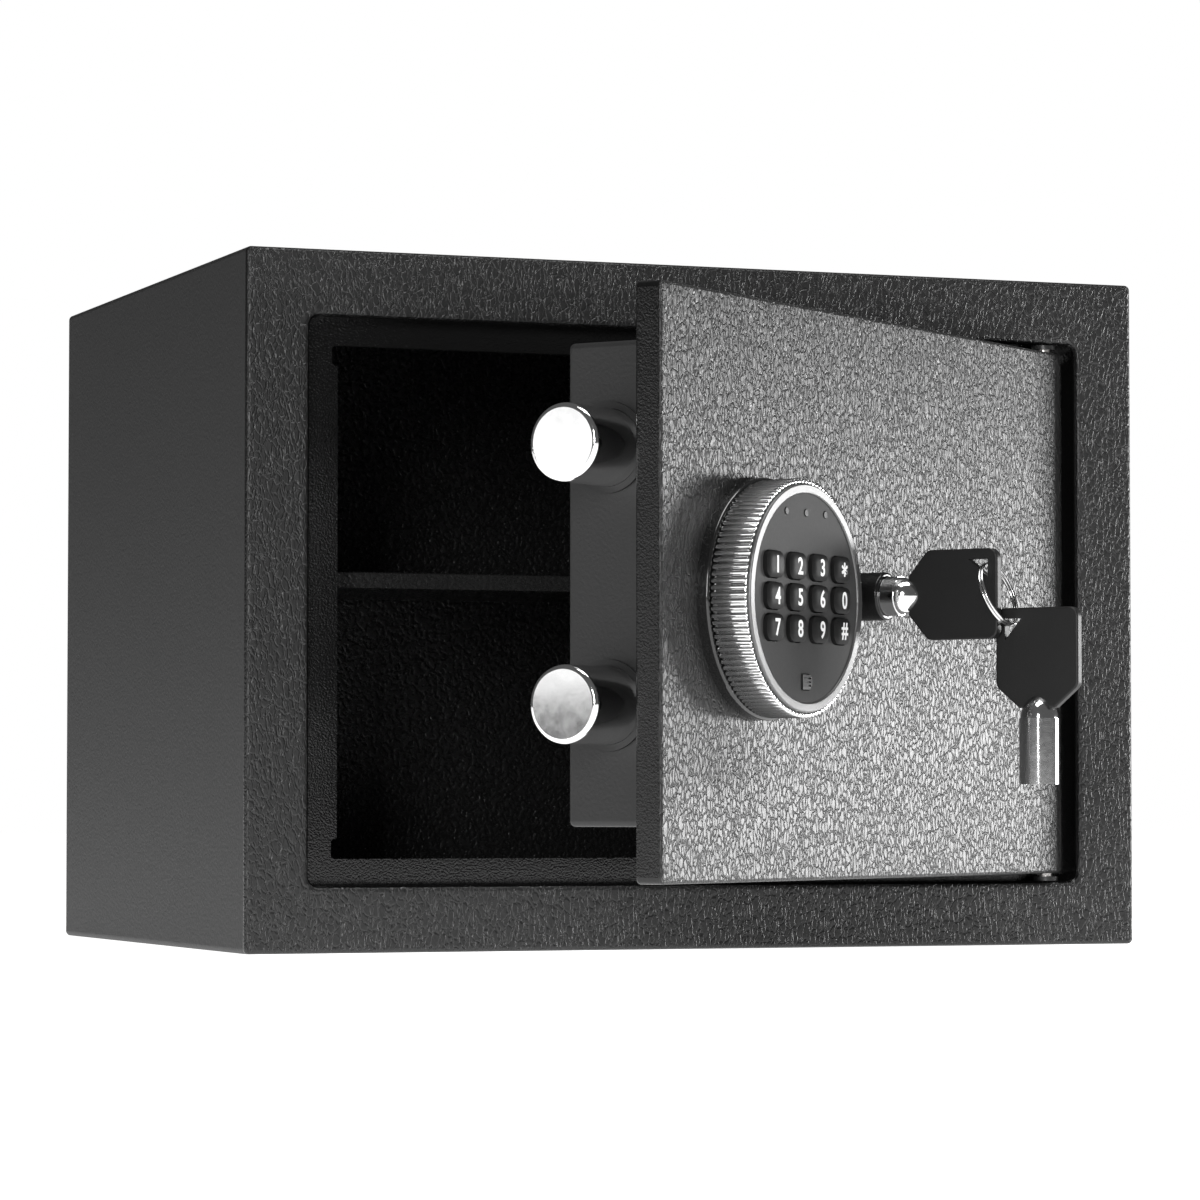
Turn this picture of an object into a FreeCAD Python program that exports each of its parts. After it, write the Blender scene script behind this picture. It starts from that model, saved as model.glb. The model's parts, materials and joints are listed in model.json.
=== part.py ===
import FreeCAD, Part
import math
import os

os.makedirs("parts", exist_ok=True)
V = FreeCAD.Vector

# A small steel home safe with its door standing open, in millimetres.
# Origin: centre of the underside. +X to the right seen from the front, +Y to the back, +Z up.
# Everything on the door is built with the door shut and then turned about the hinge.
# On the door, s runs from the latch edge towards the hinge and q runs back from its front face.

# Body and front frame
body_width = 350.0
body_depth = 250.0
body_height = 250.0
sheet = 2.0
body_corner_radius = 2.0
front_edge_radius = 1.6
border_side = 23.7
border_top = 24.0
rebate_depth = 12.0
rebate_corner_radius = 3.5
lip_radius = 2.4
ledge_side = 13.9
ledge_top = 9.2
flange_reach = 4.5
flange_relief = 4.5
relief_bite = 2.2
relief_drop = 7.2
relief_corner_radius = 1.5
anchor_hole_radius = 5.0
floor_anchor_spacing = 200.0
back_anchor_spacing = 200.0
back_anchor_z = 160.0

# Fittings inside the body
mat_thickness = 2.0
mat_gap = 1.5
mat_front_gap = 5.0
shelf_top_z = 138.0
shelf_sheet = 1.2
shelf_lip = 6.0
shelf_box_gap = 3.0
shelf_back_gap = 5.0
shelf_side_gap = 1.5
support_leg = 10.0
support_length = 30.0
support_sheet = 2.0
support_end_gap = 25.0

# Door
door_gap_hinge = 6.5
door_gap_latch = 3.9
door_gap_top = 2.8
door_recess = 0.5
door_thickness = 10.0
door_front_sheet = 2.5
door_edge_sheet = 2.0
door_back_sheet = 1.5
door_corner_radius = 2.2
door_front_radius = 1.2
door_back_radius = 1.0
door_rest_angle = 37.0

# Door hinge
hinge_inset = 4.0
pin_radius = 2.5
pin_in_door = 10.0
pin_in_frame = 8.0
pin_chamfer = 0.6
hinge_bush_radius = 3.5
hinge_bush_flange_radius = 4.6
hinge_bush_flange = 1.5
hinge_bush_length = 4.5
hinge_block_width = 8.5
running = 0.05

# Lock box on the back of the door
box_s0 = 16.0
box_length = 210.0
box_bottom_margin = 18.5
box_top_margin = 17.2
box_sheet = 1.5
box_corner_radius = 2.0
box_screw_inset = 9.0
box_screw_radius = 2.0
box_screw_head_radius = 3.8
box_screw_head = 2.2
box_screw_grip = 8.0
box_screw_dome = 0.9
cross_reach = 2.4
cross_depth = 1.1
cross_width = 1.0
box_post_radius = 4.0

# Bolts and the carriage that carries them
bolt_radius = 13.0
bolt_rim_radius = 1.6
bolt_front_gap = 6.0
bolt_back_gap = 0.5
upper_bolt_drop = 35.4
lower_bolt_rise = 40.0
bolt_tip_s = -12.5
bolt_bush_wall = 0.95
bolt_bush_overhang = 1.2
bolt_bush_flange = 1.0
bolt_bush_length = 13.0
bolt_screw_radius = 2.5
bolt_screw_head_radius = 4.5
bolt_screw_head = 2.5
bolt_screw_length = 16.0
carriage_sheet = 2.5
carriage_end_margin = 10.0
carriage_back_gap = 0.5
tongue_height = 53.0
tongue_margin = 8.0
arm_margin = 3.5
slot_margin = 2.5
window_play = 1.2
bracket_window_play = 2.0
cable_play = 1.0

# Knob and crank
knob_s = 62.8
knob_rise = -3.6
knob_radius = 40.0
knob_flutes = 106
knob_flute_depth = 0.8
knob_lift = 0.4
knob_web = 2.6
knob_front_n = 18.0
knob_edge_chamfer = 0.6
base_overhang = 0.7
base_height = 4.5
base_edge_radius = 1.0
sleeve_radius = 9.0
knob_bush_radius = 11.0
knob_bush_flange_radius = 13.0
knob_bush_flange = 1.5
crank_q = 12.0
crank_thickness = 3.0
crank_disc_radius = 23.5
crank_radius = 19.0
crank_pin_radius = 2.5
crank_pin_end_q = 21.0
crank_turn = 90.0
slot_play = 0.8
crank_gap = 0.5

# Keypad in the middle of the knob
post_radius = 6.0
post_bore_radius = 4.0
post_end_q = 27.5
post_flange_radius = 9.0
post_flange = 1.5
housing_back_n = 8.5
housing_wall = 2.0
face_n = 18.4
face_thickness = 2.0
bezel_inset = 1.8
bezel_width = 3.3
bezel_play = 0.4
bezel_edge_radius = 0.55
bezel_n = 19.0
pad_board_play = 1.9
pad_board_n = 12.0
pad_board_thickness = 1.6
key_pitch_x = 15.1
key_pitch_z = 10.4
key_width = 11.5
key_height = 8.8
key_corner_radius = 3.2
key_n = 20.6
key_back_n = 15.0
key_travel = 1.0
key_play = 0.3
key_skirt = 0.45
key_skirt_height = 1.1
key_edge_radius = 0.5
lamp_radius = 1.3
lamp_pitch = 13.1
lamp_rise = 28.5
lamp_back_n = 14.5
lamp_proud = 0.3
lamp_edge_radius = 0.25
port_drop = 28.0
port_width = 6.4
port_height = 5.0
port_corner_radius = 2.2
port_n = 19.0
port_back_n = 15.6
port_groove = 0.5
port_groove_depth = 0.6
port_groove_reach = 2.2

# Bracket and cable behind the keypad
bracket_sheet = 2.0
bracket_q = 23.5
bracket_height = 14.0
bracket_reach = 49.2
bracket_foot = 12.0
nut_radius = 8.2
cable_radius = 1.2
cable_q = 33.0
cable_bend = 6.0

# Solenoid that blocks the carriage
solenoid_s = 95.0
solenoid_rise = 22.0
solenoid_size = 18.0
plunger_radius = 2.4
plunger_lift = 1.0
plunger_back_gap = 6.5
plunger_hole_radius = 3.0
arm_height = 12.0

# Circuit board, reset button and batteries
board_s0 = 150.0
board_width = 62.0
board_rise = -12.0
board_height = 62.0
board_q = 13.0
board_thickness = 1.6
board_post_radius = 3.0
board_post_inset = 5.0
plug_size = 6.0
plug_height = 4.4
reset_s = 200.0
reset_rise = 25.0
reset_radius = 3.0
reset_hole_radius = 3.5
reset_switch_size = 6.0
reset_switch_height = 3.9
reset_travel = 1.5
reset_proud = 1.5
reset_gap = 0.2
reset_edge_radius = 0.6
cell_radius = 7.0
cell_length = 50.0
cell_pitch = 14.5
cell_count = 4
cell_nub_radius = 2.8
cell_nub = 1.0
tray_rise = 2.3
tray_wall = 1.5
tray_q = 24.0
tray_end_room = 1.5
cover_play = 0.4
cover_clip = 5.0
cover_clip_sheet = 1.0
cover_clip_width = 12.0

# Override lock and its keys
lock_s = 135.5
lock_rise = 0.0
collar_radius = 8.4
collar_height = 10.0
collar_edge_radius = 0.8
barrel_radius = 8.0
barrel_end_q = 20.0
keyway_radius = 7.1
keyway_q = 8.0
core_radius = 5.0
core_recess = 0.5
drive_radius = 4.0
drive_length = 4.0
lock_nut_radius = 11.0
lock_nut_height = 4.0
cam_sheet = 2.0
cam_width = 10.0
cam_length = 22.0
cam_boss = 1.5
cam_gap = 0.5
cam_screw_head_radius = 5.0
cam_screw_head = 2.0
key_tube_radius = 6.9
key_tube_bore_radius = 5.3
key_tube_end = 2.0
key_tube_length = 22.5
key_shoulder_n = 15.5
key_shoulder_radius = 6.5
key_cone_length = 7.5
key_cone_swell = 0.9
key_neck_radius = 1.6
key_tang_start = 4.0
key_tang_length = 14.0
key_tang_thickness = 2.0
key_tang_half = 3.5
bow_start = 3.6
bow_start_half = 6.9
bow_shoulder = 11.0
bow_length = 38.0
bow_half = 15.6
bow_thickness = 3.6
bow_corner_radius = 3.5
bow_edge_radius = 0.7
hole_inset = 3.6
hole_long = 7.6
hole_short = 6.2
ring_wire_radius = 0.5
ring_wire_gap = 0.04
spare_offset_s = 5.0
spare_offset_n = 8.0
spare_drop = 20.5

# Places worked out from the values above
front_y = -body_depth / 2
back_y = body_depth / 2
rebate_x = body_width / 2 - border_side
rebate_z0 = border_top
rebate_z1 = body_height - border_top
ledge_y = front_y + rebate_depth
opening_x = rebate_x - ledge_side
opening_z0 = rebate_z0 + ledge_top
opening_z1 = rebate_z1 - ledge_top
inner_x = body_width / 2 - sheet
inner_z1 = body_height - sheet
door_x0 = -rebate_x + door_gap_latch
door_x1 = rebate_x - door_gap_hinge
door_z0 = rebate_z0 + door_gap_top
door_z1 = rebate_z1 - door_gap_top
door_y = front_y + door_recess
hinge_x = door_x1 - hinge_inset
hinge_y = front_y + sheet + hinge_bush_radius
bolt_bore_radius = bolt_radius + running
bolt_bush_radius = bolt_bore_radius + bolt_bush_wall
bolt_bush_flange_radius = bolt_bush_radius + bolt_bush_overhang
bolt_q = door_thickness + bolt_front_gap + bolt_bush_radius
box_depth = bolt_front_gap + 2 * bolt_bush_radius + bolt_back_gap + box_sheet
carriage_q = bolt_q - bolt_radius
carriage_back_q = bolt_q + bolt_radius - carriage_back_gap
stroke = 2 * crank_radius * math.sin(math.radians(crank_turn / 2))
base_radius = knob_radius + base_overhang
knob_back_n = base_height + knob_lift
bezel_radius = knob_radius - bezel_inset
knob_bore_radius = bezel_radius + bezel_play
housing_radius = bezel_radius - bezel_width
pad_board_radius = housing_radius - housing_wall - pad_board_play
middle_z = (door_z0 + door_z1) / 2
knob_z = middle_z + knob_rise
lock_z = middle_z + lock_rise
solenoid_z = middle_z + solenoid_rise
board_z0 = middle_z + board_rise
reset_z = middle_z + reset_rise
plug_s = board_s0 + plug_size / 2
tray_s0 = board_s0 + plug_size
box_z0 = door_z0 + box_bottom_margin
box_z1 = door_z1 - box_top_margin
upper_bolt_z = box_z1 - upper_bolt_drop
lower_bolt_z = box_z0 + lower_bolt_rise
tray_z0 = box_z0 + tray_rise


def block(x0, x1, y0, y1, z0, z1):
    return Part.makeBox(x1 - x0, y1 - y0, z1 - z0, V(x0, y0, z0))


def edges_along(shape, axis):
    """Straight edges of a block that run along one axis: 0 for x, 1 for y, 2 for z."""
    found = []
    for edge in shape.Edges:
        size = edge.BoundBox
        lengths = [size.XLength, size.YLength, size.ZLength]
        if lengths[axis] > 1e-6 and sum(lengths) - lengths[axis] < 1e-6:
            found.append(edge)
    return found


def rounded_block(x0, x1, y0, y1, z0, z1, radius, axis=1):
    """A block whose four edges along one axis are rounded."""
    shape = block(x0, x1, y0, y1, z0, z1)
    return shape.makeFillet(radius, edges_along(shape, axis))


def loop_edges(shape, axis, level, keep=None):
    """Edges that lie wholly in one plane across an axis, and pass the test if one is given."""
    found = []
    for edge in shape.Edges:
        size = edge.BoundBox
        low = [size.XMin, size.YMin, size.ZMin][axis]
        high = [size.XMax, size.YMax, size.ZMax][axis]
        if abs(low - level) < 1e-5 and abs(high - level) < 1e-5:
            if keep is None or keep(size):
                found.append(edge)
    return found


def door_block(s0, s1, q0, q1, z0, z1):
    return block(door_x0 + s0, door_x0 + s1, door_y + q0, door_y + q1, z0, z1)


def door_rounded_block(s0, s1, q0, q1, z0, z1, radius):
    return rounded_block(door_x0 + s0, door_x0 + s1, door_y + q0, door_y + q1, z0, z1, radius)


def door_rod(radius, q0, q1, s, z):
    """A cylinder through the door's thickness."""
    return Part.makeCylinder(radius, q1 - q0, V(door_x0 + s, door_y + q0, z), V(0, 1, 0))


def door_tube(outer, inner, q0, q1, s, z):
    return door_rod(outer, q0, q1, s, z).cut(door_rod(inner, q0 - 1, q1 + 1, s, z))


def side_rod(radius, s0, s1, q, z):
    """A cylinder along the door's width."""
    return Part.makeCylinder(radius, s1 - s0, V(door_x0 + s0, door_y + q, z), V(1, 0, 0))


def upright_rod(radius, x, y, z0, z1):
    return Part.makeCylinder(radius, z1 - z0, V(x, y, z0), V(0, 0, 1))


def hexagon(radius, q0, q1, s, z):
    corners = []
    for step in range(7):
        angle = math.radians(60 * step)
        corners.append(V(door_x0 + s + radius * math.cos(angle), door_y + q0, z + radius * math.sin(angle)))
    return Part.Face(Part.makePolygon(corners)).extrude(V(0, q1 - q0, 0))


def save(name, shape, on_door=True):
    """Write one piece, a door piece where it stands with the door open."""
    placed = shape.copy()
    if on_door:
        placed.rotate(V(hinge_x, hinge_y, 0), V(0, 0, 1), door_rest_angle)
    placed.exportStep("parts/" + name + ".step")


# Body shell: the folded steel wrap of floor, sides and top, with two holes for floor anchors
shell = rounded_block(-body_width / 2, body_width / 2, front_y + sheet, back_y, 0, body_height,
                      body_corner_radius)
shell = shell.cut(block(-inner_x, inner_x, front_y, back_y + 1, sheet, inner_z1))
floor_anchors = [-floor_anchor_spacing / 2, floor_anchor_spacing / 2]
for x in floor_anchors:
    shell = shell.cut(upright_rod(anchor_hole_radius, x, 0, -1, sheet + 1))
save("body_shell", shell, on_door=False)

# Back panel: a flat plate let into the wrap, with two holes for wall anchors
panel = block(-inner_x, inner_x, back_y - sheet, back_y, sheet, inner_z1)
for x in [-back_anchor_spacing / 2, back_anchor_spacing / 2]:
    panel = panel.cut(Part.makeCylinder(
        anchor_hole_radius, sheet + 2, V(x, back_y - sheet - 1, back_anchor_z), V(0, 1, 0)))
save("back_panel", panel, on_door=False)


# Front frame: one pressing of border, rebate for the door, ledge behind it and a short folded flange
def make_front_frame():
    ledge_back = ledge_y + sheet
    flange_y = ledge_y + flange_reach
    frame = rounded_block(
        -body_width / 2, body_width / 2, front_y, front_y + sheet, 0, body_height, body_corner_radius)
    frame = frame.fuse(rounded_block(
        -rebate_x - sheet, rebate_x + sheet, front_y, ledge_back,
        rebate_z0 - sheet, rebate_z1 + sheet, rebate_corner_radius + sheet))
    frame = frame.cut(rounded_block(
        -rebate_x, rebate_x, front_y - 1, ledge_y, rebate_z0, rebate_z1, rebate_corner_radius))
    # the four flanges are strips behind the ledge, each stopping short of the corners
    for side in (-1, 1):
        x0, x1 = sorted((side * opening_x, side * (opening_x + sheet)))
        frame = frame.fuse(block(
            x0, x1, ledge_y, flange_y, opening_z0 + relief_drop, opening_z1 - relief_drop))
    for z0 in (opening_z0 - sheet, opening_z1):
        frame = frame.fuse(block(
            -opening_x + flange_relief, opening_x - flange_relief, ledge_y, flange_y, z0, z0 + sheet))
    frame = frame.cut(block(-opening_x, opening_x, ledge_y - 1, flange_y + 1, opening_z0, opening_z1))
    # a small notch at each corner lets the side flange fold
    for side in (-1, 1):
        xs = sorted((side * (opening_x - relief_bite), side * (opening_x + relief_bite)))
        for z0 in (opening_z0, opening_z1 - relief_drop):
            frame = frame.cut(rounded_block(
                xs[0], xs[1], ledge_y - 1, flange_y + 1, z0, z0 + relief_drop, relief_corner_radius))
    frame = frame.removeSplitter()
    outer = loop_edges(frame, 1, front_y, lambda size: max(abs(size.XMin), abs(size.XMax)) > rebate_x + 1
                       or size.ZMax < rebate_z0 - 1 or size.ZMin > rebate_z1 + 1)
    frame = frame.makeFillet(front_edge_radius, outer)
    lip = loop_edges(frame, 1, front_y, lambda size: max(abs(size.XMin), abs(size.XMax)) < rebate_x + 1
                     and size.ZMin > rebate_z0 - 1 and size.ZMax < rebate_z1 + 1)
    frame = frame.makeFillet(lip_radius, lip)
    for z0 in (rebate_z0 - sheet - 1, rebate_z1 - 1):
        frame = frame.cut(upright_rod(hinge_bush_radius, hinge_x, hinge_y, z0, z0 + sheet + 2))
    return frame


save("front_frame", make_front_frame(), on_door=False)

# Hinge bushes: nylon, flanged, pressed into the rebate's top and bottom walls
bushes = []
for wall_z, way in ((rebate_z1, 1), (rebate_z0, -1)):
    ends = sorted((wall_z - way * hinge_bush_flange, wall_z + way * hinge_bush_length))
    flange_ends = sorted((wall_z - way * hinge_bush_flange, wall_z))
    bush = upright_rod(hinge_bush_radius, hinge_x, hinge_y, ends[0], ends[1])
    bush = bush.fuse(upright_rod(hinge_bush_flange_radius, hinge_x, hinge_y, flange_ends[0], flange_ends[1]))
    bushes.append(bush.cut(upright_rod(pin_radius + running, hinge_x, hinge_y, ends[0] - 1, ends[1] + 1)))
save("hinge_bushes", Part.makeCompound(bushes), on_door=False)

# Floor mat: a loose sheet of felt with holes over the floor anchors
mat = block(-inner_x + mat_gap, inner_x - mat_gap, front_y + sheet + mat_front_gap,
            back_y - sheet - mat_gap, sheet, sheet + mat_thickness)
for x in floor_anchors:
    mat = mat.cut(upright_rod(anchor_hole_radius + 1, x, 0, 0, sheet + mat_thickness + 1))
save("floor_mat", mat, on_door=False)

# Shelf: sheet steel with its front edge folded down, loose on four angle supports
shelf_x = inner_x - shelf_side_gap
shelf_y0 = door_y + door_thickness + box_depth + shelf_box_gap
shelf_y1 = back_y - sheet - shelf_back_gap
shelf = block(-shelf_x, shelf_x, shelf_y0, shelf_y1, shelf_top_z - shelf_sheet, shelf_top_z)
shelf = shelf.fuse(block(
    -shelf_x, shelf_x, shelf_y0, shelf_y0 + shelf_sheet, shelf_top_z - shelf_lip, shelf_top_z))
shelf = shelf.removeSplitter()
shelf = shelf.makeFillet(shelf_sheet * 0.8, [
    edge for edge in edges_along(shelf, 0)
    if abs(edge.BoundBox.YMin - shelf_y0) < 1e-5 and abs(edge.BoundBox.ZMax - shelf_top_z) < 1e-5])
save("shelf", shelf, on_door=False)

supports = []
rest_z = shelf_top_z - shelf_sheet
for side in (-1, 1):
    for y0 in (shelf_y0 + support_end_gap, shelf_y1 - support_end_gap - support_length):
        leg_x = sorted((side * inner_x, side * (inner_x - support_leg)))
        wall_x = sorted((side * inner_x, side * (inner_x - support_sheet)))
        angle = block(leg_x[0], leg_x[1], y0, y0 + support_length, rest_z - support_sheet, rest_z)
        angle = angle.fuse(block(wall_x[0], wall_x[1], y0, y0 + support_length, rest_z - support_leg, rest_z))
        supports.append(angle.removeSplitter())
save("shelf_supports", Part.makeCompound(supports), on_door=False)

# Door: a pressed front pan closed at the back by a plate, with holes for the knob and the lock
door_q_back = door_thickness - door_back_sheet
door_length = door_x1 - door_x0
knob_hole = door_rod(knob_bush_radius, -1, door_thickness + 1, knob_s, knob_z)
lock_hole = door_rod(barrel_radius, -1, door_thickness + 1, lock_s, lock_z)
pins = []
for edge_z, way in ((door_z1, 1), (door_z0, -1)):
    ends = sorted((edge_z - way * pin_in_door, edge_z + way * pin_in_frame))
    pin = upright_rod(pin_radius, hinge_x, hinge_y, ends[0], ends[1])
    tip = edge_z + way * pin_in_frame
    pins.append(pin.makeChamfer(pin_chamfer, loop_edges(pin, 2, tip)))
pin_group = Part.makeCompound(pins)

pan = door_rounded_block(0, door_length, 0, door_thickness, door_z0, door_z1, door_corner_radius)
pan = pan.makeFillet(door_front_radius, loop_edges(pan, 1, door_y))
pan = pan.makeFillet(door_back_radius, loop_edges(pan, 1, door_y + door_thickness))
pan = pan.cut(door_block(door_edge_sheet, door_length - door_edge_sheet, door_front_sheet, door_thickness + 1,
                         door_z0 + door_edge_sheet, door_z1 - door_edge_sheet))
for hole in (knob_hole, lock_hole, pin_group):
    pan = pan.cut(hole)
save("door_pan", pan)

back_plate = door_block(door_edge_sheet, door_length - door_edge_sheet, door_q_back, door_thickness,
                        door_z0 + door_edge_sheet, door_z1 - door_edge_sheet)
save("door_back_plate", back_plate.cut(knob_hole).cut(lock_hole))

# Hinge pins: each is turned on the end of a small steel block that is welded inside the pan
hinge_pins = []
for pin, z0, z1 in ((pins[0], door_z1 - door_edge_sheet - pin_in_door, door_z1 - door_edge_sheet),
                    (pins[1], door_z0 + door_edge_sheet, door_z0 + door_edge_sheet + pin_in_door)):
    foot = door_block(door_length - door_edge_sheet - hinge_block_width, door_length - door_edge_sheet,
                      door_front_sheet, door_q_back, z0, z1)
    hinge_pins.append(foot.fuse(pin).removeSplitter())
save("hinge_pins", Part.makeCompound(hinge_pins))

# Lock box: the folded cover over the mechanism, open towards the door
box_q0 = door_thickness
box_q1 = door_thickness + box_depth
box_s1 = box_s0 + box_length
box_inner_q = box_q1 - box_sheet
tray_length = cell_length + 2 * tray_end_room + 2 * tray_wall
tray_height = cell_count * cell_pitch + 2 * tray_wall
lock_box = door_block(box_s0, box_s1, box_q0, box_q1, box_z0, box_z1)
outer_edges = loop_edges(lock_box, 1, door_y + box_q1) + edges_along(lock_box, 1)
lock_box = lock_box.makeFillet(box_corner_radius, outer_edges)
lock_box = lock_box.cut(door_block(box_s0 + box_sheet, box_s1 - box_sheet, box_q0 - 1, box_inner_q,
                                   box_z0 + box_sheet, box_z1 - box_sheet))
for z in (upper_bolt_z, lower_bolt_z):
    lock_box = lock_box.cut(side_rod(bolt_bush_radius, box_s0 - 1, box_s0 + box_sheet + 1, bolt_q, z))
cover_s0 = tray_s0 + tray_wall
cover_s1 = tray_s0 + tray_length - tray_wall
cover_z0 = tray_z0 + tray_wall
cover_z1 = tray_z0 + tray_height - tray_wall
lock_box = lock_box.cut(door_block(cover_s0, cover_s1, box_inner_q - 1, box_q1 + 1, cover_z0, cover_z1))
lock_box = lock_box.cut(door_rod(reset_hole_radius, box_inner_q - 1, box_q1 + 1, reset_s, reset_z))
box_screw_places = [(s, z) for s in (box_s0 + box_screw_inset, box_s1 - box_screw_inset)
                    for z in (box_z0 + box_screw_inset, box_z1 - box_screw_inset)]
for s, z in box_screw_places:
    lock_box = lock_box.cut(door_rod(box_screw_radius, box_inner_q - 1, box_q1 + 1, s, z))
save("lock_box", lock_box)

# Four posts on the door's back plate take the lock box's screws, four shorter ones hold the board
posts = []
screws = []
head_top = box_q1 + box_screw_head
for s, z in box_screw_places:
    screw = door_rod(box_screw_radius, box_inner_q - box_screw_grip, box_q1, s, z)
    posts.append(door_rod(box_post_radius, box_q0, box_inner_q, s, z).cut(screw))
    head = door_rod(box_screw_head_radius, box_q1, head_top, s, z)
    head = head.makeFillet(box_screw_dome, loop_edges(head, 1, door_y + head_top))
    for turn in (0, 90):
        groove = door_block(s - cross_reach, s + cross_reach, head_top - cross_depth, head_top + 1,
                            z - cross_width / 2, z + cross_width / 2)
        groove.rotate(V(door_x0 + s, 0, z), V(0, 1, 0), turn)
        head = head.cut(groove)
    screws.append(head.fuse(screw).removeSplitter())
save("box_screws", Part.makeCompound(screws))

# Bolt bushes: flanged sleeves in the lock box's latch side
bushes = []
for z in (upper_bolt_z, lower_bolt_z):
    bush = side_rod(bolt_bush_radius, box_s0 - bolt_bush_flange, box_s0 + bolt_bush_length, bolt_q, z)
    flange = side_rod(bolt_bush_flange_radius, box_s0 - bolt_bush_flange, box_s0, bolt_q, z)
    bush = bush.fuse(flange)
    bushes.append(bush.cut(side_rod(
        bolt_bore_radius, box_s0 - bolt_bush_flange - 1, box_s0 + bolt_bush_length + 1, bolt_q, z)))
save("bolt_bushes", Part.makeCompound(bushes))

# Crank: the pin starts up and to the latch side of the knob and ends up and to the hinge side
crank_start = math.radians(90 + crank_turn / 2)
crank_pin_s = knob_s + crank_radius * math.cos(crank_start)
crank_pin_z = knob_z + crank_radius * math.sin(crank_start)

# Bolts: two turned steel bars, drilled at the inner end for a screw
carriage_s1 = crank_pin_s - crank_pin_radius - slot_play - slot_margin
carriage_s0 = carriage_s1 - carriage_sheet
bolts = []
bolt_screws = []
for z in (upper_bolt_z, lower_bolt_z):
    bolt = side_rod(bolt_radius, bolt_tip_s, carriage_s0, bolt_q, z)
    bolt = bolt.makeFillet(bolt_rim_radius, loop_edges(bolt, 0, door_x0 + bolt_tip_s))
    screw = side_rod(bolt_screw_radius, carriage_s0 - bolt_screw_length, carriage_s1, bolt_q, z)
    bolts.append(bolt.cut(screw))
    head = side_rod(bolt_screw_head_radius, carriage_s1, carriage_s1 + bolt_screw_head, bolt_q, z)
    bolt_screws.append(screw.fuse(head).removeSplitter())
save("lock_bolts", Part.makeCompound(bolts))
save("bolt_screws", Part.makeCompound(bolt_screws))


# Carriage: an upright strip across the bolts' ends, with a tongue that the crank pin moves
def make_carriage():
    tongue_z0 = (upper_bolt_z + lower_bolt_z) / 2 - tongue_height / 2
    tongue_z1 = tongue_z0 + tongue_height
    post_room = post_radius + window_play
    tongue_s1 = knob_s + post_room + tongue_margin
    arm_s1 = solenoid_s + plunger_hole_radius + arm_margin
    carriage = door_block(carriage_s0, carriage_s1, carriage_q, carriage_back_q,
                          lower_bolt_z - bolt_radius - carriage_end_margin,
                          upper_bolt_z + bolt_radius + carriage_end_margin)
    carriage = carriage.fuse(door_block(carriage_s0, tongue_s1, carriage_q, carriage_q + carriage_sheet,
                                        tongue_z0, tongue_z1))
    arm_z1 = solenoid_z + arm_height / 2
    carriage = carriage.fuse(door_block(tongue_s1 - 1, arm_s1, carriage_q, carriage_q + carriage_sheet,
                                        arm_z1 - arm_height, arm_z1))
    # window along the travel for the keypad post, deeper where its bracket and cable pass
    carriage = carriage.cut(door_rounded_block(
        knob_s - post_room - stroke, knob_s + post_room, carriage_q - 1, carriage_q + carriage_sheet + 1,
        knob_z - post_room, knob_z + post_room, post_room * 0.9))
    window = bracket_height / 2 + bracket_window_play
    carriage = carriage.cut(door_block(carriage_s0 - 1, carriage_s1, carriage_q - 1,
                                       cable_q + cable_radius + cable_play,
                                       knob_z - window, knob_z + window))
    # upright slot for the crank pin, and a hole for the solenoid's plunger
    slot_half = crank_pin_radius + slot_play
    carriage = carriage.cut(door_rounded_block(
        crank_pin_s - slot_half, crank_pin_s + slot_half, carriage_q - 1, carriage_q + carriage_sheet + 1,
        crank_pin_z - crank_pin_radius - slot_play, knob_z + crank_radius + crank_pin_radius + slot_play,
        slot_half * 0.95))
    carriage = carriage.cut(door_rod(plunger_hole_radius, carriage_q - 1, carriage_q + carriage_sheet + 1,
                                     solenoid_s, solenoid_z))
    for z in (upper_bolt_z, lower_bolt_z):
        carriage = carriage.cut(side_rod(bolt_screw_radius, carriage_s0 - 1, carriage_s1 + 1, bolt_q, z))
    return carriage.removeSplitter()


save("bolt_carriage", make_carriage())

# Knob base: the fixed ring on the door's face, and the flanged bush that the knob's sleeve turns in
base = door_rod(base_radius, -base_height, 0, knob_s, knob_z)
base = base.makeFillet(base_edge_radius, loop_edges(base, 1, door_y - base_height))
save("knob_base", base.cut(door_rod(knob_bush_flange_radius, -base_height - 1, 1, knob_s, knob_z)))
knob_bush = door_rod(knob_bush_radius, -knob_bush_flange, crank_q - crank_gap, knob_s, knob_z)
knob_bush = knob_bush.fuse(door_rod(knob_bush_flange_radius, -knob_bush_flange, 0, knob_s, knob_z))
save("knob_bush", knob_bush.cut(door_rod(sleeve_radius + running, -10, crank_q + 1, knob_s, knob_z)))


# Knob ring: a fluted rim on a flat web
def make_knob_ring():
    outline = []
    for flute in range(knob_flutes):
        for part, radius in ((0.0, knob_radius), (0.5, knob_radius - knob_flute_depth)):
            angle = 2 * math.pi * (flute + part) / knob_flutes
            outline.append(V(door_x0 + knob_s + radius * math.cos(angle), door_y - knob_front_n,
                             knob_z + radius * math.sin(angle)))
    outline.append(outline[0])
    fluted = Part.Face(Part.makePolygon(outline)).extrude(V(0, knob_front_n - knob_back_n, 0))
    # a lathe-turned envelope takes the corners off both ends of the rim
    envelope = door_rod(knob_radius + 0.1, -knob_front_n, -knob_back_n, knob_s, knob_z)
    envelope = envelope.makeChamfer(knob_edge_chamfer, [edge for edge in envelope.Edges if edge.Closed])
    ring = fluted.common(envelope)
    ring = ring.cut(door_rod(knob_bore_radius, -knob_front_n - 1, -knob_back_n - knob_web, knob_s, knob_z))
    return ring.cut(door_rod(sleeve_radius, -knob_front_n, 0, knob_s, knob_z))


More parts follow.
